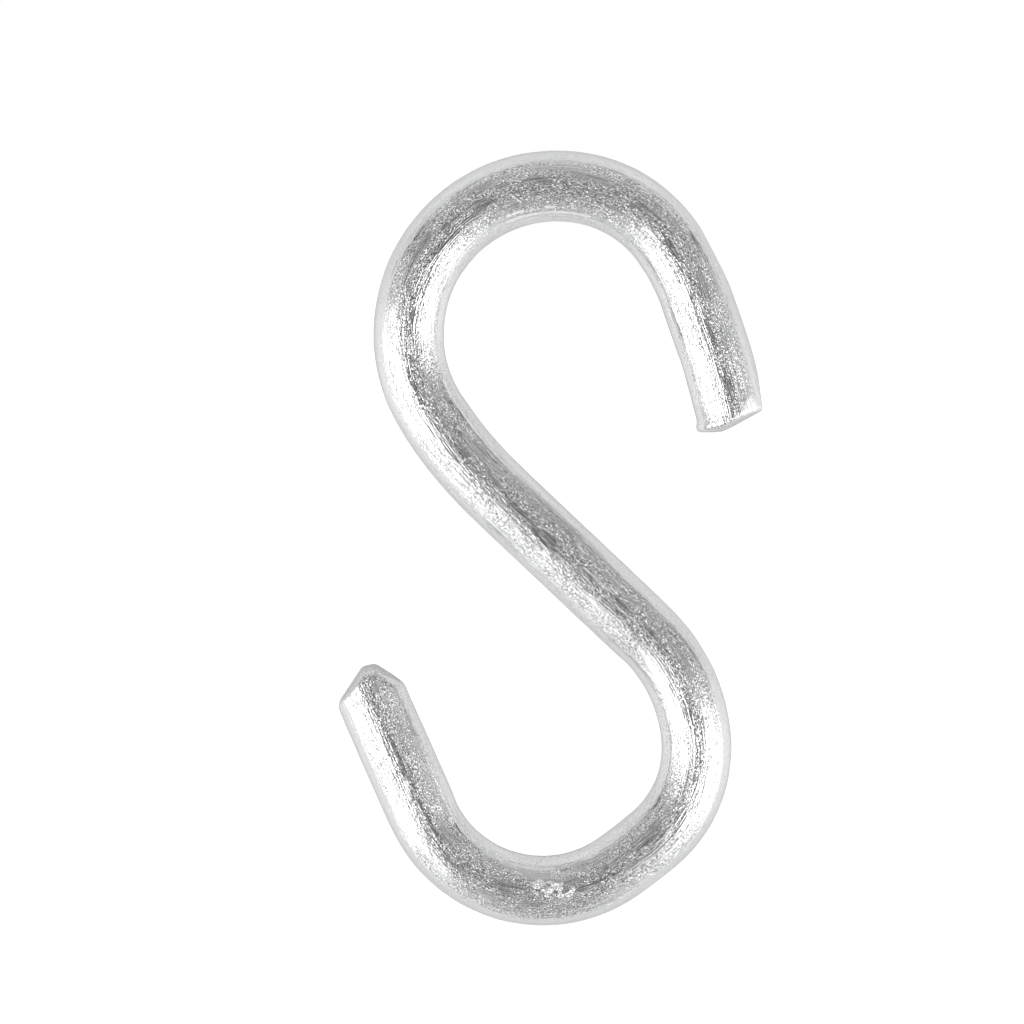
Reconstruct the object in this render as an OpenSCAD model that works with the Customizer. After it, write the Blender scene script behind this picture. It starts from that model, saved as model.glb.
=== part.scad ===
// S hook, bent cold from one length of round steel wire.
// The two hooks open to opposite sides, and both ends are as the cutter's jaws left them.
//
// The hook hangs as in use: the S lies in the X-Z plane, and the origin is the point inside
// the upper bend that bears on the bar or ring above.  From that point the wire is laid out
// both ways as a bending table: a list of stretches, each a straight or a bend.

/* [Wire] */
// Diameter of the wire
wire_d = 5.7; // [4:0.1:7]

/* [Upper hook] */
// Centreline radius of the crown, where the hook bears
crown_r = 11.8; // [10:0.1:15]
// Turn of the crown from the bearing point towards the tip, in degrees
crown_front_turn = 9.5; // [5:0.5:20]
// Turn of the crown from the bearing point towards the shank, in degrees
crown_back_turn = 122.5; // [110:0.5:135]
// Centreline radius of the nose, between the crown and the cheek
nose_r = 10.5; // [9:0.1:14]
// Turn of the nose, in degrees
nose_turn = 44.5; // [35:0.5:55]
// Centreline radius of the cheek, where the bend eases into the leg
cheek_r = 18; // [12:0.5:30]
// Turn of the cheek, in degrees
cheek_turn = 16.5; // [8:0.5:22]
// Straight of the upper leg, from the cheek to the tuck
upper_leg_l = 4; // [2:0.1:12]
// Centreline radius of the tuck that turns the upper end in
tuck_r = 25; // [15:1:60]
// Turn of the tuck, in degrees
tuck_turn = 4.5; // [1:0.5:8]
// Straight of the upper end, from the tuck to the ridge of its cut
upper_end_l = 4.9; // [3:0.1:10]

/* [Shank] */
// Centreline radius of the shoulder, where the crown eases into the shank
shoulder_r = 34; // [20:1:60]
// Turn of the shoulder, in degrees
shoulder_turn = 14; // [6:0.5:20]
// Straight of the shank
shank_l = 16.3; // [8:0.1:40]

/* [Lower hook] */
// Centreline radius of the entry, where the shank turns into the lower hook
entry_r = 13.3; // [10:0.1:18]
// Turn of the entry, in degrees
entry_turn = 40.5; // [30:0.5:50]
// Centreline radius of the heel
heel_r = 9.8; // [9:0.1:14]
// Turn of the heel, in degrees
heel_turn = 53; // [40:0.5:60]
// Centreline radius of the slack stretch between the two strikes of the bender
slack_r = 25; // [14:0.5:40]
// Turn of the slack stretch, in degrees
slack_turn = 10.5; // [4:0.5:16]
// Centreline radius of the bowl, where the load hangs
bowl_r = 10.5; // [9:0.1:14]
// Turn of the bowl, in degrees
bowl_turn = 99; // [85:0.5:110]
// Straight of the lower leg, from the bowl to the ridge of its cut
lower_leg_l = 12.7; // [6:0.1:20]

/* [Upper cut] */
// Distance of the ridge from the wire's axis, towards the inside of the hook
upper_ridge_in = 1.1; // [0:0.05:1.5]
// Width of the blunt ridge
upper_ridge_w = 0.3; // [0.1:0.05:1]
// Slope of the cut on the inner side of the ridge, in degrees
upper_inner_slope = 15; // [5:1:60]
// Slope of the cut on the outer side of the ridge, in degrees
upper_outer_slope = 14; // [5:1:60]
// Length of the flat that the cutter's jaw pressed on the outer side
upper_pinch_l = 3.2; // [0.5:0.1:4]
// Slope of that flat to the wire, in degrees
upper_pinch_slope = 8; // [2:0.5:12]

/* [Lower cut] */
// Distance of the ridge from the wire's axis, towards the inside of the hook
lower_ridge_in = 0.75; // [0:0.05:1.5]
// Width of the blunt ridge
lower_ridge_w = 1; // [0.1:0.05:1.5]
// Slope of the cut on the inner side of the ridge, in degrees
lower_inner_slope = 56; // [5:1:65]
// Slope of the cut on the outer side of the ridge, in degrees
lower_outer_slope = 33; // [5:1:65]
// Length of the flat that the cutter's jaw pressed on the outer side
lower_pinch_l = 0.8; // [0.5:0.1:4]
// Slope of that flat to the wire, in degrees
lower_pinch_slope = 3; // [2:0.5:12]

/* [Tool flats] */
// Depth of the flat that the bender left outside the cheek
cheek_flat_depth = 0.15; // [0.05:0.01:0.4]
// Depth of the flat that the bender left outside the slack stretch
slack_flat_depth = 0.2; // [0.05:0.01:0.4]

/* [Hidden] */
$fn = 64;
wire_r = wire_d / 2;
// The bending table, in two runs that leave the crown.  A row is [length or centreline radius,
// turn in degrees]: a turn of 0 is a straight, a positive turn goes anticlockwise as seen
// from the front, and a negative one clockwise.
front_run = [
    [nose_r, -nose_turn],
    [cheek_r, -cheek_turn],
    [upper_leg_l, 0],
    [tuck_r, -tuck_turn]
];
back_run = [
    [shoulder_r, shoulder_turn],
    [shank_l, 0],
    [entry_r, -entry_turn],
    [heel_r, -heel_turn],
    [slack_r, -slack_turn],
    [bowl_r, -bowl_turn]
];
// Rows that carry a tool flat
cheek_row = 1;
slack_row = 4;
// The stretches are set end to end at this scale, in metres, so that their faces meet exactly
metre = 0.001;
// Reach of a cutting block, well past the wire
block = 4 * wire_d;

// A straight of the wire along +X
module straight(length) {
    rotate([0, 90, 0])
        cylinder(h = length, d = wire_d);
}

// A bend that leaves the origin along +X
module bend(radius, turn) {
    side = sign(turn);
    translate([0, side * radius])
        rotate_extrude(start = side > 0 ? -90 : 90 + turn, angle = abs(turn))
            translate([radius, 0])
                circle(d = wire_d);
}

// Moves its children from the start of a stretch to its end
module past(row, size = 1) {
    if (row[1] == 0)
        translate([size * row[0], 0])
            children();
    else
        translate([0, sign(row[1]) * size * row[0]])
            rotate(row[1])
                translate([0, -sign(row[1]) * size * row[0]])
                    children();
}

// The stretches of a run from row i on, end to end, and the children at its far end
module bent_wire(run, i = 0) {
    if (i < len(run)) {
        scale(metre)
            if (run[i][1] == 0)
                straight(run[i][0]);
            else
                bend(run[i][0], run[i][1]);
        past(run[i], metre)
            bent_wire(run, i + 1)
                children();
    } else {
        scale(metre)
            children();
    }
}

// The last straight of a run, its ridge at x = length and the hook's inside at -Y.
// The jaws met a little off the axis and left two slopes, with a blunt ridge between
// them, and a flat pressed on the outer side just behind the cut.
module cut_end(length, ridge_in, ridge_w, inner_slope, outer_slope, pinch_l, pinch_slope) {
    ridge_inner = -ridge_in - ridge_w / 2;
    ridge_outer = -ridge_in + ridge_w / 2;
    corner_y = wire_r - pinch_l * tan(pinch_slope);
    corner_x = length - (corner_y - ridge_outer) * tan(outer_slope);
    intersection() {
        straight(length);
        translate([0, 0, -wire_d])
            linear_extrude(2 * wire_d)
                polygon([
                    [-block, -wire_d],
                    [length - (wire_d + ridge_inner) * tan(inner_slope), -wire_d],
                    [length, ridge_inner],
                    [length, ridge_outer],
                    [corner_x, corner_y],
                    [corner_x - block, corner_y + block * tan(pinch_slope)],
                    [-block, block]
                ]);
    }
}

module upper_cut_end() {
    cut_end(
        upper_end_l,
        upper_ridge_in,
        upper_ridge_w,
        upper_inner_slope,
        upper_outer_slope,
        upper_pinch_l,
        upper_pinch_slope
    );
}

module lower_cut_end() {
    cut_end(
        lower_leg_l,
        lower_ridge_in,
        lower_ridge_w,
        lower_inner_slope,
        lower_outer_slope,
        lower_pinch_l,
        lower_pinch_slope
    );
}

// The ends of the crown, about its centre, with the wire leaving along +X
module front_of_crown(size = 1) {
    rotate(-crown_front_turn)
        translate([0, size * crown_r])
            children();
}

module back_of_crown(size = 1) {
    rotate(crown_back_turn)
        translate([0, size * crown_r])
            rotate(180)
                children();
}

// The bent wire about the centre of the crown, with no tool marks
module plain_wire() {
    scale(1 / metre) {
        scale(metre)
            rotate_extrude(start = 90 - crown_front_turn, angle = crown_front_turn + crown_back_turn)
                translate([crown_r, 0])
                    circle(d = wire_d);
        front_of_crown(metre)
            bent_wire(front_run)
                upper_cut_end();
        back_of_crown(metre)
            bent_wire(back_run)
                lower_cut_end();
    }
}

// Moves its children to the start of row i of a run
module at_row(run, i) {
    if (i == 0)
        children();
    else
        at_row(run, i - 1)
            past(run[i - 1])
                children();
}

// A block whose face flattens the outside of the clockwise bend in row i, at the middle of its turn
module tool_flat(run, i, depth) {
    radius = run[i][0];
    at_row(run, i)
        translate([0, -radius])
            rotate(run[i][1] / 2)
                translate([-block / 2, radius + wire_r - depth, -block / 2])
                    cube(block);
}

// The whole hook, stood up with its bearing point at the origin
module hook() {
    color("silver")
        rotate([90, 0, 0])
            translate([0, wire_r - crown_r])
                difference() {
                    plain_wire();
                    front_of_crown()
                        tool_flat(front_run, cheek_row, cheek_flat_depth);
                    back_of_crown()
                        tool_flat(back_run, slack_row, slack_flat_depth);
                }
}

hook();
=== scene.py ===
import math

import bpy
import numpy as np
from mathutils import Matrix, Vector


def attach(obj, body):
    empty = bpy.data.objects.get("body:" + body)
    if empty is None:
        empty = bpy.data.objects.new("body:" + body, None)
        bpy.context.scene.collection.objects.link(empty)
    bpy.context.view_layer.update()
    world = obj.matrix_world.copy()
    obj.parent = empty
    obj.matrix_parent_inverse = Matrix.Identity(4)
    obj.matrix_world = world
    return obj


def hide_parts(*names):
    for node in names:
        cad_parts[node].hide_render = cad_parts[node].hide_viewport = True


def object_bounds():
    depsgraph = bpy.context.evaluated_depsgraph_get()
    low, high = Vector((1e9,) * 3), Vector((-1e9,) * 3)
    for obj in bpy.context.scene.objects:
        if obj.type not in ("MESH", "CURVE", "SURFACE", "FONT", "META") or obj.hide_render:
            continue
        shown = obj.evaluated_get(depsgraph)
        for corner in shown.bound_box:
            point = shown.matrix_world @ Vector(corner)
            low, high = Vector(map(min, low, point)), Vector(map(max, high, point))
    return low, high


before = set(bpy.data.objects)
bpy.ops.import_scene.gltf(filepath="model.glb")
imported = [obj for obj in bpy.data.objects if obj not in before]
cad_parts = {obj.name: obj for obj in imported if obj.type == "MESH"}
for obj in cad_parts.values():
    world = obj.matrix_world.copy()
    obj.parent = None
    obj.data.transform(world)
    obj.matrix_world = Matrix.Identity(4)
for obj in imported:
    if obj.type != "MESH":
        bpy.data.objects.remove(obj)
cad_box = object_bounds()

# ---------------------------------------------------------------- the bending table
# Lengths are in millimetres while the wire is laid out, and in metres in the mesh.
MM = 0.001
WIRE_R = 2.85

# The bending table of the CAD part, from the crown outwards: a centreline radius and a turn in
# degrees, or a straight's length and 0.
FRONT = [
    (11.8, -9.5),
    (10.5, -44.5),
    (18.0, -16.5),
    (4.0, 0.0),
    (25.0, -4.5),
    (4.9, 0.0),
]
BACK = [
    (11.8, 122.5),
    (34.0, 14.0),
    (16.3, 0.0),
    (13.3, -40.5),
    (9.8, -53.0),
    (25.0, -10.5),
    (10.5, -99.0),
    (12.7, 0.0),
]
# The headings in which the two runs leave the crown
FRONT_HEADING, BACK_HEADING = 0.0, math.pi


def row_length(row):
    return row[0] * math.radians(abs(row[1])) if row[1] else row[0]


front_l = sum(map(row_length, FRONT))
back_l = sum(map(row_length, BACK))
total_l = front_l + back_l


def trace(table, heading, at):
    """Places, headings and curvatures at these distances from the crown's bearing point."""
    x, z, h = 0.0, WIRE_R, heading
    out = np.zeros((len(at), 4))
    start = 0.0
    for row in table:
        length = row_length(row)
        curve = math.copysign(1 / row[0], row[1]) if row[1] else 0.0
        here = (at >= start) & (at <= start + length + 1e-9)
        # the places asked for in this row, and its end
        part = np.append(at[here] - start, length)
        if curve:
            part_x = x + (np.sin(h + curve * part) - math.sin(h)) / curve
            part_z = z - (np.cos(h + curve * part) - math.cos(h)) / curve
        else:
            part_x = x + part * math.cos(h)
            part_z = z + part * math.sin(h)
        out[here, 0] = part_x[:-1]
        out[here, 1] = part_z[:-1]
        out[here, 2] = h + curve * part[:-1]
        out[here, 3] = curve
        x, z, h, start = float(part_x[-1]), float(part_z[-1]), h + curve * length, start + length
    return out


def wire_at(s):
    """The centreline at distances s from the upper tip.

    Each comes as a place, the heading towards the lower tip, and the curvature in its run.
    """
    s = np.asarray(s, float)
    got = np.zeros((len(s), 4))
    ahead = s < front_l
    got[ahead] = trace(FRONT, FRONT_HEADING, front_l - s[ahead])
    got[ahead, 2] += math.pi
    got[~ahead] = trace(BACK, BACK_HEADING, s[~ahead] - front_l)
    return got


# ---------------------------------------------------------------- shaping
def smooth(a, b, x):
    """0 up to a, 1 from b on, and a soft step between."""
    t = np.clip((x - a) / (b - a), 0, 1)
    return t * t * (3 - 2 * t)


def round_max(a, b, k):
    """The larger of a and b, with the corner between them rounded over about k."""
    h = np.maximum(k - np.abs(a - b), 0) / k
    return np.maximum(a, b) + h * h * k / 4


# ---------------------------------------------------------------- the cut ends
# The first six sizes of each cut are those of the CAD part.  The others are what the jaws did
# besides: pillow is how fast the end falls off towards the front and back, edge and outer_edge
# round its rim, lip is the height of the burr, lean tilts the ridge, and press is the depth of
# the two shoulders.
UPPER = dict(
    ridge=1.1,
    width=0.3,
    inner=15.0,
    outer=14.0,
    pinch=3.2,
    slope=8.0,
    pillow=0.08,
    edge=0.22,
    outer_edge=0.22,
    lip=0.2,
    lean=0.0,
    press=0.3,
)
LOWER = dict(
    ridge=0.75,
    width=1.0,
    inner=56.0,
    outer=33.0,
    pinch=0.8,
    slope=3.0,
    pillow=0.05,
    edge=0.5,
    outer_edge=0.16,
    lip=0.0,
    lean=12.0,
    press=0.0,
)
PRESS_TURN = math.radians(50)  # round the wire, from its outer side towards the front or back
PRESS_SLOPE = math.radians(9)
LIP_BACK, LIP_WIDE = 0.78, 0.36  # the burr's place behind the ridge, and its width
LIP_TURN = 1.15  # how far round the wire it reaches from its inner side, in radians
# How far the corners between the cut's faces are rounded
RIDGE_ROUND, LEAN_ROUND, PINCH_ROUND, PRESS_ROUND = 0.1, 0.2, 0.12, 0.2
# The rim: the share of its rounding that the inner side has in the middle, the distances from
# the middle over which each side's rounding changes, and where across the wire the inner side
# gives way to the outer
RIM_CRISP = 0.45
RIM_INNER, RIM_OUTER, RIM_MEET = (0.6, 2.4), (0.3, 1.3), (-0.4, 0.8)
END_REACH = 6.0  # how far behind the ridge a cut can shape the wire
HALVINGS = 40


def cut_shape(cut, u, v, y):
    """How far a place is outside the metal at a cut end, and below 0 inside the metal.

    u runs outwards along the wire and is 0 at the ridge, v is 0 on the axis and positive on the
    outside of the hook, and y is across both.
    """
    inner, outer, slope, lean = (math.radians(cut[k]) for k in ("inner", "outer", "slope", "lean"))
    low = -cut["ridge"] - cut["width"] / 2
    high = -cut["ridge"] + cut["width"] / 2
    corner_v = WIRE_R - cut["pinch"] * math.tan(slope)
    corner_u = -(corner_v - high) * math.tan(outer)
    # the jaws drew the metal down towards both faces of the wire, so the end is a little pillowed
    w = u + cut["pillow"] * y * y
    around = np.arctan2(np.abs(y), -v)
    lip = cut["lip"] * np.exp(-(((u + LIP_BACK) / LIP_WIDE) ** 2)) * np.exp(-((around / LIP_TURN) ** 4))
    shaft = np.hypot(v, y) - WIRE_R - lip
    flat = (v - corner_v) * math.cos(slope) + (w - corner_u) * math.sin(slope)
    # the ridge leans, so that its outer side stands a little above its inner side
    rise = math.tan(lean)
    step = rise * cut["width"] / 2
    roof = round_max(
        (w + step) * math.cos(inner) - (v - low) * math.sin(inner),
        (w - step) * math.cos(outer) + (v - high) * math.sin(outer),
        RIDGE_ROUND,
    )
    roof = round_max(roof, w - rise * (v + cut["ridge"]), LEAN_ROUND)
    body = round_max(shaft, flat, PINCH_ROUND)
    if cut["press"]:
        # the jaws also bore on both shoulders of the outer side, and left them sloping to the cut
        shoulder = v * math.cos(PRESS_TURN) + np.abs(y) * math.sin(PRESS_TURN)
        pressed = shoulder * math.cos(PRESS_SLOPE) + u * math.sin(PRESS_SLOPE)
        body = round_max(body, pressed - (WIRE_R - cut["press"]), PRESS_ROUND)
    # the inner side's rim is crisper in its middle, and the outer side's goes over to outer_edge
    # away from its middle
    inner_edge = cut["edge"] * (RIM_CRISP + (1 - RIM_CRISP) * smooth(*RIM_INNER, np.abs(y)))
    outer_edge = cut["edge"] + (cut["outer_edge"] - cut["edge"]) * smooth(*RIM_OUTER, np.abs(y))
    edge = inner_edge + (outer_edge - inner_edge) * smooth(*RIM_MEET, v)
    return round_max(body, roof, edge)


def reach(cut, u0, du, dv, dy):
    """How far from the axis point u0 each ray goes before it leaves the metal."""
    near, far = np.zeros(du.shape), np.full(du.shape, END_REACH)
    for _ in range(HALVINGS):
        mid = (near + far) / 2
        inside = cut_shape(cut, u0 + du * mid, dv * mid, dy * mid) < 0
        near, far = np.where(inside, mid, near), np.where(inside, far, mid)
    return (near + far) / 2


# ---------------------------------------------------------------- the swept wire
AROUND = 128  # places round the wire
RING_STEP = 0.205
CAP_IN = 2.3  # how far behind the ridge a cap starts
CAP_RINGS = 30
CAP_FADE = 1.2  # the stretch next to a cap over which the skin's relief fades out

rows = int(round((total_l - 2 * CAP_IN) / RING_STEP)) + 1
s = np.linspace(CAP_IN, total_l - CAP_IN, rows)
line = wire_at(s)
# the seam is at the back of the wire
theta = (np.arange(AROUND) / AROUND) * 2 * math.pi + math.pi / 2
cos_t, sin_t = np.cos(theta)[None, :], np.sin(theta)[None, :]
girth = 2 * math.pi * WIRE_R
step_t = girth / AROUND

# Drawn wire is a touch fuller in its straights, and necked where it was bent
FULLER, NECKED = 1.008, 0.021
NECKED_CURVE = 0.085  # the curvature at which the necking is complete
EASE_RINGS = 25  # over which it comes on
THINNER = 0.02  # across the plane of the S


def drawn_radius():
    """The wire's radius at each ring and place round it."""
    bend = np.abs(line[:, 3])
    kernel = np.exp(-np.linspace(-2.5, 2.5, EASE_RINGS) ** 2)
    bend = np.convolve(np.pad(bend, EASE_RINGS // 2, "edge"), kernel / kernel.sum(), "valid")
    in_plane = WIRE_R * (FULLER - NECKED * smooth(0.0, NECKED_CURVE, bend))[:, None]
    return 1 / np.sqrt((cos_t / in_plane) ** 2 + (sin_t / (WIRE_R - THINNER)) ** 2)


def press_end(radius, cut, out, side):
    """Shapes the rings near a cut, which are at distances out from its ridge."""
    near_end = out < END_REACH
    u = np.broadcast_to(-out[near_end][:, None], (near_end.sum(), AROUND))
    dv, dy = (np.broadcast_to(part, u.shape) for part in (side * cos_t, sin_t))
    got = reach(cut, u, np.zeros_like(u), dv, dy)
    pressed = np.minimum(radius[near_end], got)
    if cut["lip"]:
        pressed = np.where(got > WIRE_R, got, pressed)
    radius[near_end] = pressed


def grain(seed, long, wide):
    """A random height field that is even round the wire, with grains long by wide, and a spread of 1."""
    noise = np.random.default_rng(seed).standard_normal((rows, AROUND))
    spectrum = np.fft.rfft2(noise)
    fs = np.fft.fftfreq(rows, RING_STEP)[:, None]
    ft = np.fft.rfftfreq(AROUND, step_t)[None, :]
    spectrum *= np.exp(-2 * (math.pi * fs * long / 4) ** 2 - 2 * (math.pi * ft * wide / 4) ** 2)
    field = np.fft.irfft2(spectrum, (rows, AROUND))
    return (field - field.mean()) / field.std()


# Drawing lines and soft waves from the tumbling barrel: seed, length, width and height
WAVES = [(3, 9.0, 0.7, 0.0035), (4, 5.0, 2.2, 0.0055), (5, 1.3, 0.9, 0.0035)]
DENTS = 110
DENT_SEED = 11
DENT_WIDE = (0.22, 0.5)
DENT_LONG, DENT_DEEP = (1.0, 2.6), (0.02, 0.06)  # as shares of its width
SUNK = 0.008  # how far the skin is set in, so that the waves' crests stay within the wire


def skin_relief():
    """Drawing lines, waves and dents, fading out towards both caps."""
    relief = np.zeros((rows, AROUND))
    for seed, long, wide, high in WAVES:
        relief += high * grain(seed, long, wide)
    rng = np.random.default_rng(DENT_SEED)
    arc = np.arange(AROUND) * step_t
    for _ in range(DENTS):
        at_s = rng.uniform(END_REACH, total_l - END_REACH)
        at_t = rng.uniform(0, girth)
        wide = rng.uniform(*DENT_WIDE)
        long = wide * rng.uniform(*DENT_LONG)
        deep = wide * rng.uniform(*DENT_DEEP)
        gap = np.abs(arc - at_t)
        gap = np.minimum(gap, girth - gap)
        relief -= deep * np.exp(-(((s - at_s) / long) ** 2)[:, None] - ((gap / wide) ** 2)[None, :])
    fade_in = (CAP_IN, CAP_IN + CAP_FADE)
    fade = smooth(*fade_in, s) * smooth(*fade_in, total_l - s)
    return (relief - SUNK) * fade[:, None]


radius = drawn_radius()
press_end(radius, UPPER, s, -1.0)
press_end(radius, LOWER, total_l - s, 1.0)
radius = radius + skin_relief()

flat_v, flat_y = radius * cos_t, radius * sin_t
swept = np.stack(
    [
        line[:, 0:1] - np.sin(line[:, 2:3]) * flat_v,
        flat_y,
        line[:, 1:2] + np.cos(line[:, 2:3]) * flat_v,
    ],
    2,
)
laid_out = np.stack([np.broadcast_to(s[:, None], flat_v.shape), flat_v, flat_y], 2)

# ---------------------------------------------------------------- the bender's flats
# On the outside of two bends: the run, its heading, the row, and the flat's depth
FLATS = [(FRONT, FRONT_HEADING, 2, 0.15), (BACK, BACK_HEADING, 5, 0.2)]
FLAT_REACH = 7.0  # along the wire each way, past both ends of a flat
FLAT_ROUND = 0.035
BURR_HIGH, BURR_WIDE, BURR_AWAY = 0.02, 0.14, 0.12  # the metal squeezed out beside the flat
BURR_FADE = (2.0, 3.4)  # along the wire
BURR_DEEP = 0.3  # how far below the flat it can start


def press_flat(swept, table, heading, row, depth):
    """Moves what stands out past a flat back to it."""
    middle = sum(map(row_length, table[:row])) + row_length(table[row]) / 2
    x0, z0, h0, _ = trace(table, heading, np.array([middle]))[0]
    ahead, outward = (math.cos(h0), math.sin(h0)), (-math.sin(h0), math.cos(h0))
    dx, dz = swept[:, :, 0] - x0, swept[:, :, 2] - z0
    along = np.abs(dx * ahead[0] + dz * ahead[1])
    out = dx * outward[0] + dz * outward[1]
    level = WIRE_R - depth
    pressed = -round_max(-out, np.full(out.shape, -level), FLAT_ROUND)
    from_burr = np.abs(swept[:, :, 1]) - math.sqrt(2 * WIRE_R * depth) - BURR_AWAY
    burr = BURR_HIGH * np.exp(-((from_burr / BURR_WIDE) ** 2)) * (1 - smooth(*BURR_FADE, along))
    shift = pressed - out + burr * (out > level - BURR_DEEP)
    shift = np.where((along < FLAT_REACH) & (out > 0), shift, 0)
    swept[:, :, 0] += outward[0] * shift
    swept[:, :, 2] += outward[1] * shift


for flat in FLATS:
    press_flat(swept, *flat)


# ---------------------------------------------------------------- the caps
def cap(cut, at_s, side):
    """The rings from the last ring of the sweep to the tip, and the tip's point.

    Each comes as a place in the frame and as a place on the laid-out wire.
    """
    x0, z0, h0, _ = wire_at([at_s])[0]
    tilt = math.pi / 2 * (1 - (np.arange(1, CAP_RINGS + 1) / (CAP_RINGS + 0.5)))[:, None]
    du = np.broadcast_to(np.cos(tilt), (CAP_RINGS, AROUND))
    dv = np.sin(tilt) * cos_t * side
    dy = np.sin(tilt) * sin_t
    got = reach(cut, np.full(du.shape, -CAP_IN), du, dv, dy)
    one, none = np.array([1.0]), np.array([0.0])
    tip = reach(cut, -CAP_IN * one, one, none, none)
    u = np.append(du * got, tip) * side
    v = np.append(dv * got, 0.0) * side
    y = np.append(dy * got, 0.0)
    x = x0 + u * math.cos(h0) - math.sin(h0) * v
    z = z0 + u * math.sin(h0) + math.cos(h0) * v
    places, laid = np.stack([x, y, z], 1), np.stack([at_s + u, v, y], 1)
    rings = (CAP_RINGS, AROUND, 3)
    return places[:-1].reshape(rings), laid[:-1].reshape(rings), places[-1:], laid[-1:]


upper_rings, upper_laid, upper_tip, upper_tip_laid = cap(UPPER, CAP_IN, -1.0)
lower_rings, lower_laid, lower_tip, lower_tip_laid = cap(LOWER, total_l - CAP_IN, 1.0)

# rings in order from the upper tip to the lower tip, then the two tips
rings = np.concatenate([upper_rings[::-1], swept, lower_rings])
laid = np.concatenate([upper_laid[::-1], laid_out, lower_laid])
places = np.concatenate([rings.reshape(-1, 3), upper_tip, lower_tip]) * MM
laid = np.concatenate([laid.reshape(-1, 3), upper_tip_laid, lower_tip_laid])
low, high = (np.array(corner) for corner in cad_box)
places = np.clip(places, low, high)

# ---------------------------------------------------------------- the mesh
count = len(rings)
index = np.arange(count * AROUND).reshape(count, AROUND)
ring_a, ring_b = index[:-1], index[1:]
quads = np.stack([ring_a, np.roll(ring_a, -1, 1), np.roll(ring_b, -1, 1), ring_b], 2).reshape(-1, 4)
first, last = index[0], index[-1]
upper_fan = np.stack([np.roll(first, -1), first, np.full(AROUND, count * AROUND)], 1)
lower_fan = np.stack([last, np.roll(last, -1), np.full(AROUND, count * AROUND + 1)], 1)

mesh = bpy.data.meshes.new("s_hook")
mesh.from_pydata(places.tolist(), [], quads.tolist() + upper_fan.tolist() + lower_fan.tolist())
mesh.polygons.foreach_set("use_smooth", np.ones(len(mesh.polygons), bool))
# each vertex's place on the laid-out wire, for the material: along it from the upper tip,
# across it in the plane of the S, and through it from front to back, in millimetres
wire = mesh.attributes.new("wire", "FLOAT_VECTOR", "POINT")
wire.data.foreach_set("vector", laid.astype(np.float32).ravel())

# ---------------------------------------------------------------- the map
# The wire's skin in strips of equal length, one above the other
STRIPS = 3
MARGIN = 0.003


def on_map(along, across, strip):
    """Where a place falls on the map: its share along and across a strip, inside the margins."""
    u = 2 * MARGIN + (1 - 4 * MARGIN) * along
    v = (strip + 3 * MARGIN + (1 - 6 * MARGIN) * across) / STRIPS
    return np.stack(np.broadcast_arrays(u, v), -1)


walk = np.concatenate([[0], np.cumsum(np.linalg.norm(np.diff(rings, axis=0), axis=2).mean(1))])
strip_of = np.minimum((walk[:-1] / walk[-1] * STRIPS).astype(int), STRIPS - 1)
starts = np.array([walk[:-1][strip_of == k][0] for k in range(STRIPS)])
stops = np.array([walk[1:][strip_of == k][-1] for k in range(STRIPS)])

uv = np.zeros((len(mesh.loops), 2), np.float32)
ring_no = np.repeat(np.arange(count - 1), AROUND)
around_no = np.tile(np.arange(AROUND), count - 1)
strip = strip_of[ring_no]
for corner, (ahead, beside) in enumerate(((0, 0), (0, 1), (1, 1), (1, 0))):
    along = (walk[ring_no + ahead] - starts[strip]) / (stops - starts)[strip]
    uv[corner : 4 * len(quads) : 4] = on_map(along, (around_no + beside) / AROUND, strip)

# the fans stand in the margins at the two ends, each with its tip outermost
TIP_OUT = 1.5 * MARGIN / (1 - 4 * MARGIN)
upper_loop = 4 * len(quads)
lower_loop = upper_loop + 3 * AROUND
fans = (
    (upper_loop, 0.0, -TIP_OUT, 0, (1, 0, 0.5)),
    (lower_loop, 1.0, TIP_OUT, STRIPS - 1, (0, 1, 0.5)),
)
for base, end, tip_out, strip_no, beside in fans:
    for corner in range(3):
        along = end + (tip_out if corner == 2 else 0.0)
        across = (np.arange(AROUND) + beside[corner]) / AROUND
        uv[base + corner : base + 3 * AROUND : 3] = on_map(along, across, strip_no)
layer = mesh.uv_layers.new(name="OFBake")
layer.uv.foreach_set("vector", uv.ravel())

hook = bpy.data.objects.new("s_hook", mesh)
bpy.context.scene.collection.objects.link(hook)
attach(hook, "root")
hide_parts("hook")


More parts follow.
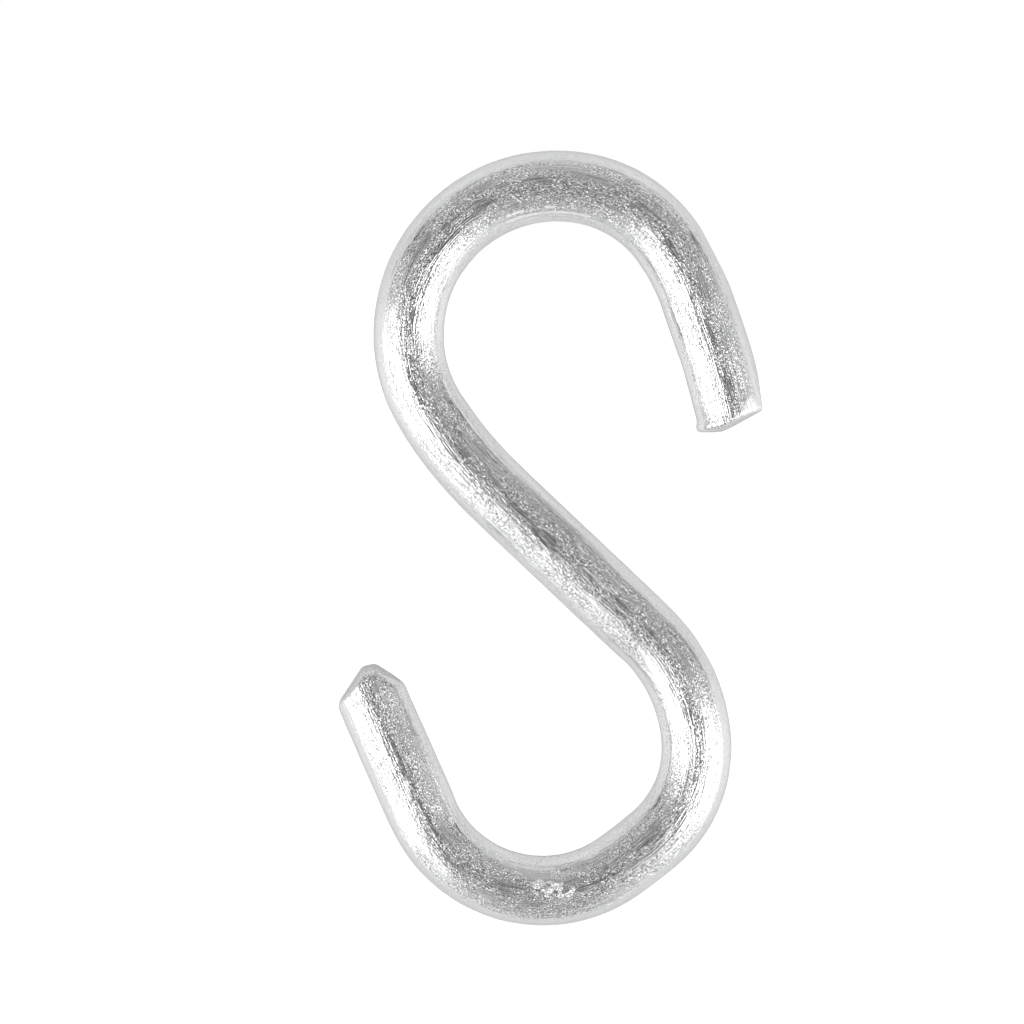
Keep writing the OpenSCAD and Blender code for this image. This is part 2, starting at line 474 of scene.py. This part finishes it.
# ---------------------------------------------------------------- node trees
class Nodes:
    """Shorthand for building a node tree."""

    PIT_EDGE = (0.05, 0.42)  # where a pit's slope starts and ends, in cells from its middle
    STROKE_EDGE = (0.3, 0.6)  # the same for a stroke, in widths from its middle
    SHUFFLE = 7.31  # any number that spreads the cells' greys over several rounds of 0 to 1

    def __init__(self, tree):
        self.tree = tree
        tree.nodes.clear()

    def add(self, kind, **settings):
        made = self.tree.nodes.new(kind)
        for key, value in settings.items():
            setattr(made, key, value)
        return made

    def plug(self, value, socket):
        if isinstance(value, bpy.types.NodeSocket):
            self.tree.links.new(value, socket)
        elif value is not None:
            socket.default_value = value

    def math(self, operation, a, b=None, clamp=False):
        made = self.add("ShaderNodeMath", operation=operation, use_clamp=clamp)
        self.plug(a, made.inputs[0])
        self.plug(b, made.inputs[1])
        return made.outputs[0]

    def product(self, first, *others):
        for other in others:
            first = self.math("MULTIPLY", first, other)
        return first

    def total(self, first, *others):
        for other in others:
            first = self.math("ADD", first, other)
        return first

    def largest(self, first, *others):
        for other in others:
            first = self.math("MAXIMUM", first, other)
        return first

    def ramp(self, value, low, high, to_low=0.0, to_high=1.0):
        """to_low up to low, to_high from high on, and a soft step between."""
        made = self.add("ShaderNodeMapRange", interpolation_type="SMOOTHSTEP")
        for number, socket in zip((value, low, high, to_low, to_high), made.inputs):
            self.plug(number, socket)
        return made.outputs[0]

    def split(self, vector):
        made = self.add("ShaderNodeSeparateXYZ")
        self.plug(vector, made.inputs[0])
        return made.outputs

    def scaled(self, vector, scale, shift):
        made = self.add("ShaderNodeMapping", vector_type="POINT")
        self.plug(vector, made.inputs["Vector"])
        made.inputs["Scale"].default_value = scale
        made.inputs["Location"].default_value = shift
        return made.outputs[0]

    def vector(self, operation, a, b=None, scale=None):
        made = self.add("ShaderNodeVectorMath", operation=operation)
        self.plug(a, made.inputs[0])
        self.plug(b, made.inputs[1])
        if scale is not None:
            self.plug(scale, made.inputs["Scale"])
        return made.outputs["Value" if operation in ("DOT_PRODUCT", "DISTANCE") else "Vector"]

    def noise(self, vector, detail=0.0, rough=0.5):
        made = self.add("ShaderNodeTexNoise", noise_dimensions="3D")
        self.plug(vector, made.inputs["Vector"])
        made.inputs["Scale"].default_value = 1.0
        made.inputs["Detail"].default_value = detail
        made.inputs["Roughness"].default_value = rough
        return made.outputs[0]

    def pitted(self, vector, left_bare):
        """Pits, each in a cell of its own, with this share of the cells left bare."""
        cells = self.add("ShaderNodeTexVoronoi", voronoi_dimensions="3D", feature="F1")
        self.plug(vector, cells.inputs["Vector"])
        cells.inputs["Scale"].default_value = 1.0
        # a random number for each cell, from the grey of its random colour
        chance = self.math("FRACT", self.math("MULTIPLY", cells.outputs["Color"], self.SHUFFLE))
        pit = self.ramp(cells.outputs["Distance"], *self.PIT_EDGE, 1.0, 0.0)
        return self.product(pit, self.math("GREATER_THAN", chance, left_bare))

    def stroke(self, flat, start, end, wide):
        """1 within a stroke from start to end on the laid-out wire, 0 outside it."""
        run = (end[0] - start[0], end[1] - start[1], 0.0)
        from_start = self.vector("SUBTRACT", flat, (*start, 0.0))
        share = self.vector("DOT_PRODUCT", from_start, run)
        share = self.math("DIVIDE", share, run[0] ** 2 + run[1] ** 2, clamp=True)
        away = self.vector("DISTANCE", from_start, self.vector("SCALE", run, scale=share))
        return self.ramp(away, *(wide * edge for edge in self.STROKE_EDGE), 1.0, 0.0)

    def strokes(self, flat, marks):
        return self.largest(*(self.stroke(flat, *mark) for mark in marks))


# ---------------------------------------------------------------- the zinc
# Marks on the front of the wire, in millimetres: where each starts and ends along the wire from
# its upper tip and across it from its middle, and its width.
SCRATCHES = [
    ((29.3, 0.85), (29.95, 0.05), 0.15),
    ((28.9, -0.75), (29.5, -1.0), 0.11),
    ((68.6, 0.60), (71.4, 0.66), 0.09),
    ((76.5, -0.50), (89.5, -0.72), 0.05),
    ((115.5, -1.92), (115.95, -1.92), 0.32),
    ((23.0, 2.06), (31.0, 2.02), 0.27),
    ((49.0, 2.14), (59.5, 2.18), 0.17),
    ((103.8, -2.06), (109.6, -2.14), 0.24),
    ((111.5, -2.14), (121.5, -2.18), 0.13),
]
BEADS = [
    ((19.8, 1.75), (31.0, 1.56), 0.22),
    ((63.8, 1.50), (69.2, 1.45), 0.12),
    ((45.5, -2.04), (60.0, -2.0), 0.07),
]
GALLS = [
    ((27.0, -1.86), (30.0, -1.82), 0.28),
    ((100.6, -1.86), (103.4, -1.90), 0.16),
]
SCUFF = ((103.0, -0.2), (105.3, -0.8), 1.6)

# Patterns in the skin: how fine each is along, across and through the wire, per millimetre, its
# shift from the others, and the detail and roughness of its noise.
PATTERNS = dict(
    patches=((0.30, 1.5, 1.5), (0, 0, 0), 2.0, 0.6),
    fine=((3.6, 9.0, 9.0), (0, 0, 0), 0.0, 0.5),
    coarse=((1.1, 2.3, 2.3), (7, 3, 5), 1.0, 0.5),
    lines=((0.22, 3.0, 3.0), (2, 9, 4), 2.0, 0.6),
    hairs=((0.35, 11.0, 11.0), (5, 2, 9), 0.0, 0.5),
    crystals=((6.0, 10.5, 10.5), (3, 6, 1), 0.0, 0.5),
    streaks=((0.13, 6.5, 6.5), (4, 2, 6), 1.0, 0.5),
    # the painted glints: light and dark specks in the grey
    painted_glints=((6.5, 11.0, 11.0), (9, 4, 7), 0.0, 0.5),
    dashes=((2.6, 1.0, 1.0), (6, 6, 2), 0.0, 0.5),
    flecks=((4.2, 5.5, 5.5), (8, 1, 3), 1.0, 0.5),
    tears=((1.6, 2.4, 2.4), (5, 8, 2), 0.0, 0.5),
    facets=((5.5, 7.5, 7.5), (2, 2, 7), 1.0, 0.5),
)
# Pits: the same three, and the share of the cells that is left bare
PITS = dict(
    grit=((4.5, 7.0, 7.0), (3, 6, 1), 0.4),
    nicks=((2.2, 4.6, 4.6), (1, 5, 8), 0.6),
)
# The stretch of each pattern's noise, from 0 to 1, over which it comes on
STEPS = dict(
    peened=(0.40, 0.57),
    roughened=(0.35, 0.65),
    crystals=(0.53, 0.63),
    # the grey's painted shade in the hollows, with mottling and painted dark reflection along the streaks
    mottle_and_painted_shade=(0.36, 0.62),
    # the painted glints
    painted_glints=(0.36, 0.66),
    dashes=(0.44, 0.54),
    flecks=(0.50, 0.56),
    tears=(0.45, 0.56),
)
# Heights of the patterns and depths of the marks, in millimetres
FINE, COARSE, LINES, HAIRS, CRYSTALS = 0.033, 0.02, 0.07, 0.032, 0.032
NICKS, SCORED, GALLED, FACETS = 0.014, 0.01, 0.02, 0.15
DULL_AND_SHADED, BRIGHT = 0.69, 0.76  # the skin's grey in its hollows and along its streaks, painted darker there as shade, and on its crests
# how far the painted glints, light and dark specks, move the skin's grey up and down
PAINTED_GLINT_SPREAD = 0.21
BARED_GLINT_GREY = 0.96  # the grey of scored and torn metal, bare metal painted near white as a highlight
GALLED_DARK = 0.3
TINT = (0.995, 1.0, 1.008)
SMOOTH_ROUGH, PEENED_ROUGH = 0.13, 0.23
SCORED_ROUGH, TORN_ROUGH = 0.3, 0.8
EDGE_TINT = (0.8, 0.8, 0.8, 1)
CROWN_TO_BOWL = (48.0, 60.0)  # where along the wire the outside of the S changes sides
RIM = (1.8, 2.1)  # across the wire, where the skin turns smoother
RIM_LEFT = 0.3  # the share of the grain that is left there
SMOOTH_LEFT = 0.1  # and the share left in the smooth patches, and where the jaw pressed
JAW_LONG, JAW_WIDE = (2.0, 3.2), (0.2, 0.8)  # where the pressed skin ends, along and across


def zinc():
    """Bright zinc on drawn wire, peened into fine facets by the plating barrel.

    Patches stayed smooth, die lines run along it, and its front is scratched and scuffed.
    """
    material = bpy.data.materials.new("zinc_plated_steel")
    material.use_nodes = True
    n = Nodes(material.node_tree)
    place = n.add("ShaderNodeAttribute", attribute_type="GEOMETRY", attribute_name="wire")
    place = place.outputs["Vector"]
    along, across, through = n.split(place)
    front = n.math("LESS_THAN", through, 0.0)

    def pattern(name):
        scale, shift, detail, rough = PATTERNS[name]
        return n.noise(n.scaled(place, scale, shift), detail, rough)

    def stepped(name, to_low=0.0, to_high=1.0):
        return n.ramp(pattern(name), *STEPS[name], to_low, to_high)

    def raised(name):
        return n.math("SUBTRACT", pattern(name), 0.5)

    def pits(name):
        scale, shift, left_bare = PITS[name]
        return n.pitted(n.scaled(place, scale, shift), left_bare)

    # where the skin is peened, and where it stayed smooth: in patches, and on the outside of
    # both bends, where the bending tools bore
    patches = pattern("patches")
    outward = n.product(across, n.ramp(along, *CROWN_TO_BOWL, -1.0, 1.0))
    rim = n.ramp(n.math("ABSOLUTE", across), *RIM, 1.0, RIM_LEFT)
    # the jaw pressed the grain flat behind the upper cut
    jawed = n.largest(n.ramp(along, *JAW_LONG), n.ramp(outward, *JAW_WIDE, 1.0, SMOOTH_LEFT))
    peened = n.ramp(patches, *STEPS["peened"], SMOOTH_LEFT, 1.0)
    peened = n.product(peened, rim, n.ramp(outward, *RIM, 1.0, RIM_LEFT), jawed)

    # handling marks: bright where the skin was scored or torn, bare metal painted near white as a highlight,
    # dark where it galled
    flat = n.vector("MULTIPLY", place, (1, 1, 0))
    flecks = stepped("flecks")
    beads = n.product(n.strokes(flat, BEADS), stepped("dashes"))
    torn = n.product(stepped("tears"), n.stroke(flat, *SCUFF), front)
    torn_flecks = n.product(torn, flecks)
    scored = n.largest(n.strokes(flat, SCRATCHES), beads, torn_flecks)
    scored = n.product(scored, front)
    galled = n.product(n.strokes(flat, GALLS), flecks, front)
    bared = n.largest(scored, torn)

    # the relief: the height of each pattern or mark, its shape, and where it is if that isn't in
    # the shape itself
    relief = [
        (FINE, raised("fine"), peened),
        (COARSE, raised("coarse"), peened),
        (LINES, raised("lines"), rim),
        (HAIRS, raised("hairs"), rim),
        (CRYSTALS, n.math("SUBTRACT", stepped("crystals"), pits("grit")), peened),
        (FACETS, raised("facets"), bared),
        (-NICKS, pits("nicks"), jawed),
        (-SCORED, scored),
        (-GALLED, galled),
    ]
    height = n.total(*(n.product(*part) for part in relief))
    bump = n.add("ShaderNodeBump")
    bump.inputs["Strength"].default_value = 1.0
    bump.inputs["Distance"].default_value = MM
    n.plug(height, bump.inputs["Height"])

    # the skin's grey is darker in the hollows of its relief, which is painted shade, and darker along long
    # streaks like the die's lines, which is partly mottling and partly painted dark reflection; where it is
    # peened it has painted glints, light and dark specks
    mottle_and_painted_shade = n.product(n.total(pattern("fine"), pattern("streaks")), 0.5)
    # painted glints: light and dark specks where the skin is peened
    painted_glints = n.product(stepped("painted_glints", -PAINTED_GLINT_SPREAD, PAINTED_GLINT_SPREAD), peened)
    # painted shade and dark reflection in the hollows and streaks, plus the painted glints
    shade = n.total(n.ramp(mottle_and_painted_shade, *STEPS["mottle_and_painted_shade"], DULL_AND_SHADED, BRIGHT), painted_glints)
    # scored and torn places: bare metal, painted near white as a highlight
    shade = n.largest(shade, n.product(bared, BARED_GLINT_GREY))
    shade = n.math("SUBTRACT", shade, n.product(galled, GALLED_DARK))
    colour = n.add("ShaderNodeCombineColor")
    for channel, tint in enumerate(TINT):
        n.plug(n.product(shade, tint), colour.inputs[channel])
    rough = n.ramp(patches, *STEPS["roughened"], SMOOTH_ROUGH, PEENED_ROUGH)
    matte = n.largest(n.product(scored, SCORED_ROUGH), n.product(torn_flecks, TORN_ROUGH))

    shader = n.add("ShaderNodeBsdfPrincipled")
    shader.inputs["Metallic"].default_value = 1.0
    shader.inputs["Specular Tint"].default_value = EDGE_TINT
    n.plug(colour.outputs[0], shader.inputs["Base Color"])
    n.plug(n.total(rough, matte), shader.inputs["Roughness"])
    n.plug(bump.outputs["Normal"], shader.inputs["Normal"])
    n.plug(shader.outputs[0], n.add("ShaderNodeOutputMaterial").inputs["Surface"])
    return material


mesh.materials.append(zinc())


# ---------------------------------------------------------------- the floor
FLOOR_HALF = 3.0
FLOOR_BELOW = 0.045  # below the hook's lowest point
PAPER = (0.78, 0.78, 0.78, 1)
PAPER_LIFT = 0.6  # what the paper lacks to be white
BACKDROP_Y = (-0.02, 0.06)  # from where to where it turns white for metal and glass


def background_rays(n):
    """1 for the rays from the camera, and 1 for those off metal or through glass."""
    path = n.add("ShaderNodeLightPath")
    off_metal = n.largest(path.outputs["Is Glossy Ray"], path.outputs["Is Transmission Ray"])
    return path.outputs["Is Camera Ray"], off_metal


def paper():
    """Pale paper that shows white, and keeps the hook's shadow."""
    material = bpy.data.materials.new("floor_paper")
    material.use_nodes = True
    n = Nodes(material.node_tree)
    from_camera, off_metal = background_rays(n)
    ground = n.split(n.add("ShaderNodeNewGeometry").outputs["Position"])
    behind = n.ramp(ground["Y"], *BACKDROP_Y)
    lift = n.largest(from_camera, n.product(off_metal, behind))
    diffuse = n.add("ShaderNodeBsdfDiffuse")
    diffuse.inputs["Color"].default_value = PAPER
    glow = n.add("ShaderNodeEmission")
    n.plug(n.product(lift, PAPER_LIFT), glow.inputs["Strength"])
    both = n.add("ShaderNodeAddShader")
    n.plug(diffuse.outputs[0], both.inputs[0])
    n.plug(glow.outputs[0], both.inputs[1])
    n.plug(both.outputs[0], n.add("ShaderNodeOutputMaterial").inputs["Surface"])
    return material


floor_mesh = bpy.data.meshes.new("floor")
down = float(low[2]) - FLOOR_BELOW
corners = [(x * FLOOR_HALF, y * FLOOR_HALF, down) for x, y in ((-1, -1), (1, -1), (1, 1), (-1, 1))]
floor_mesh.from_pydata(corners, [], [(0, 1, 2, 3)])
floor_mesh.materials.append(paper())
floor = bpy.data.objects.new("floor", floor_mesh)
bpy.context.scene.collection.objects.link(floor)
floor.visible_glossy = False

# ---------------------------------------------------------------- the studio
# The room's light by direction.  Depth runs from -1 at the end that the camera stands at to 1 at
# the far end.  Slant is the angle above the horizontal as seen from the front, in radians.
END_DARK, END_WALL, END_DEPTH = 0.17, 0.45, (-0.985, -0.90)  # the end's middle, and round it
SIDE_LIFT, SIDE_DEPTH = 0.26, (-0.8, -0.1)
BEHIND_LIFT, BEHIND_DEPTH = 0.17, (-0.02, 0.04)
FAR_DARK, FAR_DEPTH = 0.8, (0.93, 1.0)
# the walls above the windows
UPPER_DARK, UPPER_DEPTH = 0.42, (-0.7, -0.1)
UPPER_FOOT, UPPER_TOP = (0.2, 0.5), (0.95, 1.4)
# the palest part behind, a little below the horizontal
LEVEL_LIFT, LEVEL_DEPTH = 0.33, (0.7, 0.95)
LEVEL_DOWN, LEVEL_SPREAD = 0.22, (0.12, 0.75)
# gaps and edges among the walls: how much darker or brighter they are, what share of them is
# left behind the hook, how many there are by depth and by slant, and how sharp they are
GAPS, GAPS_BEHIND, GAPS_DEPTH = 0.4, 0.2, (-0.995, -0.95)
GAPS_FINE, GAPS_STEP = (6.5, 1.5), (0.36, 0.64)
GAPS_FOOT, GAPS_TOP = (0.2, 0.45), (0.8, 1.25)
# the windows, whose strength falls off from the camera towards the sides
WINDOW_NEAR, WINDOW_FAR, WINDOW_FALL = 4.0, 1.3, (-0.7, -0.2)
WINDOW_FOOT, WINDOW_TOP = (-1.15, -0.42), (-0.14, 0.22)
WINDOW_DEPTH, WINDOW_SKEW = (-0.885, -0.80), 0.03
WHITE_SHARE = 0.5  # how much of the white background metal and glass see behind the hook


def studio():
    """A grey room with a soft window on each side of the camera, and a white background."""
    world = bpy.data.worlds.new("studio")
    world.use_nodes = True
    n = Nodes(world.node_tree)
    aside, depth, up = n.split(n.add("ShaderNodeTexCoord").outputs["Generated"])
    slant = n.math("ARCTAN2", up, n.math("ABSOLUTE", aside))
    behind = n.ramp(depth, *BEHIND_DEPTH)
    before = n.math("SUBTRACT", 1.0, behind)
    room = n.total(n.ramp(depth, *END_DEPTH, END_DARK, END_WALL), n.ramp(depth, *SIDE_DEPTH, 0.0, SIDE_LIFT))

    upper = n.product(n.ramp(slant, *UPPER_FOOT), n.ramp(slant, *UPPER_TOP, 1.0, 0.0))
    upper = n.product(upper, n.ramp(depth, *UPPER_DEPTH), before)
    room = n.math("SUBTRACT", room, n.product(upper, UPPER_DARK))

    level = n.ramp(n.math("ABSOLUTE", n.total(slant, LEVEL_DOWN)), *LEVEL_SPREAD, 1.0, 0.0)
    level = n.product(level, behind, n.ramp(depth, *LEVEL_DEPTH, LEVEL_LIFT, 0.0))
    room = n.total(room, n.product(behind, BEHIND_LIFT), level)

    by_depth, by_slant = GAPS_FINE
    ring = n.add("ShaderNodeCombineXYZ")
    n.plug(n.product(n.math("ARCCOSINE", n.product(depth, -1.0)), by_depth), ring.inputs[0])
    n.plug(n.product(slant, by_slant), ring.inputs[1])
    gaps = n.ramp(n.noise(ring.outputs[0]), *GAPS_STEP, -GAPS, GAPS)
    where = n.product(n.ramp(n.math("ABSOLUTE", slant), *GAPS_FOOT), n.ramp(slant, *GAPS_TOP, 1.0, 0.0))
    where = n.product(where, n.ramp(depth, *GAPS_DEPTH), before)
    room = n.total(room, n.product(gaps, n.total(where, n.product(behind, GAPS_BEHIND))))

    window = n.product(n.ramp(slant, *WINDOW_FOOT), n.ramp(slant, *WINDOW_TOP, 1.0, 0.0))
    from_end = n.math("SUBTRACT", depth, n.product(aside, WINDOW_SKEW))
    window = n.product(window, n.ramp(from_end, *WINDOW_DEPTH), before)
    strength = n.ramp(depth, *WINDOW_FALL, WINDOW_NEAR, WINDOW_FAR)
    room = n.total(room, n.product(window, strength))

    # the middle of the far end is dark, as it is round the camera
    room = n.math("SUBTRACT", room, n.ramp(depth, *FAR_DEPTH, 0.0, FAR_DARK))

    walls = n.add("ShaderNodeBackground")
    walls.inputs["Color"].default_value = (1, 1, 1, 1)
    n.plug(room, walls.inputs["Strength"])
    white = n.add("ShaderNodeBackground")
    white.inputs["Color"].default_value = (1, 1, 1, 1)
    white.inputs["Strength"].default_value = 1.0
    # metal and glass see the white background too, behind the hook, mixed with the room's walls
    from_camera, off_metal = background_rays(n)
    mix = n.add("ShaderNodeMixShader")
    n.plug(n.largest(from_camera, n.product(off_metal, behind, WHITE_SHARE)), mix.inputs[0])
    n.plug(walls.outputs[0], mix.inputs[1])
    n.plug(white.outputs[0], mix.inputs[2])
    n.plug(mix.outputs[0], n.add("ShaderNodeOutputWorld").inputs["Surface"])
    return world


bpy.context.scene.world = studio()

# ---------------------------------------------------------------- the camera
AIM = np.array([-0.00357, 0.0, -0.02316])
DISTANCE = 0.35
ELEVATION = math.radians(5)
HALF_VIEW = 0.04096  # what the picture shows each side of its centre, at the hook
SENSOR = 36.0

camera = bpy.data.objects.new("camera", bpy.data.cameras.new("camera"))
bpy.context.scene.collection.objects.link(camera)
camera.data.sensor_width = SENSOR
camera.data.lens = SENSOR / 2 / (HALF_VIEW / DISTANCE)
camera.data.clip_start, camera.data.clip_end = 0.01, 50
camera.location = AIM + DISTANCE * np.array([0, -math.cos(ELEVATION), math.sin(ELEVATION)])
camera.rotation_euler = (math.pi / 2 - ELEVATION, 0, 0)
bpy.context.scene.camera = camera

view = bpy.context.scene.view_settings
view.view_transform = "Standard"

bpy.context.view_layer.update()
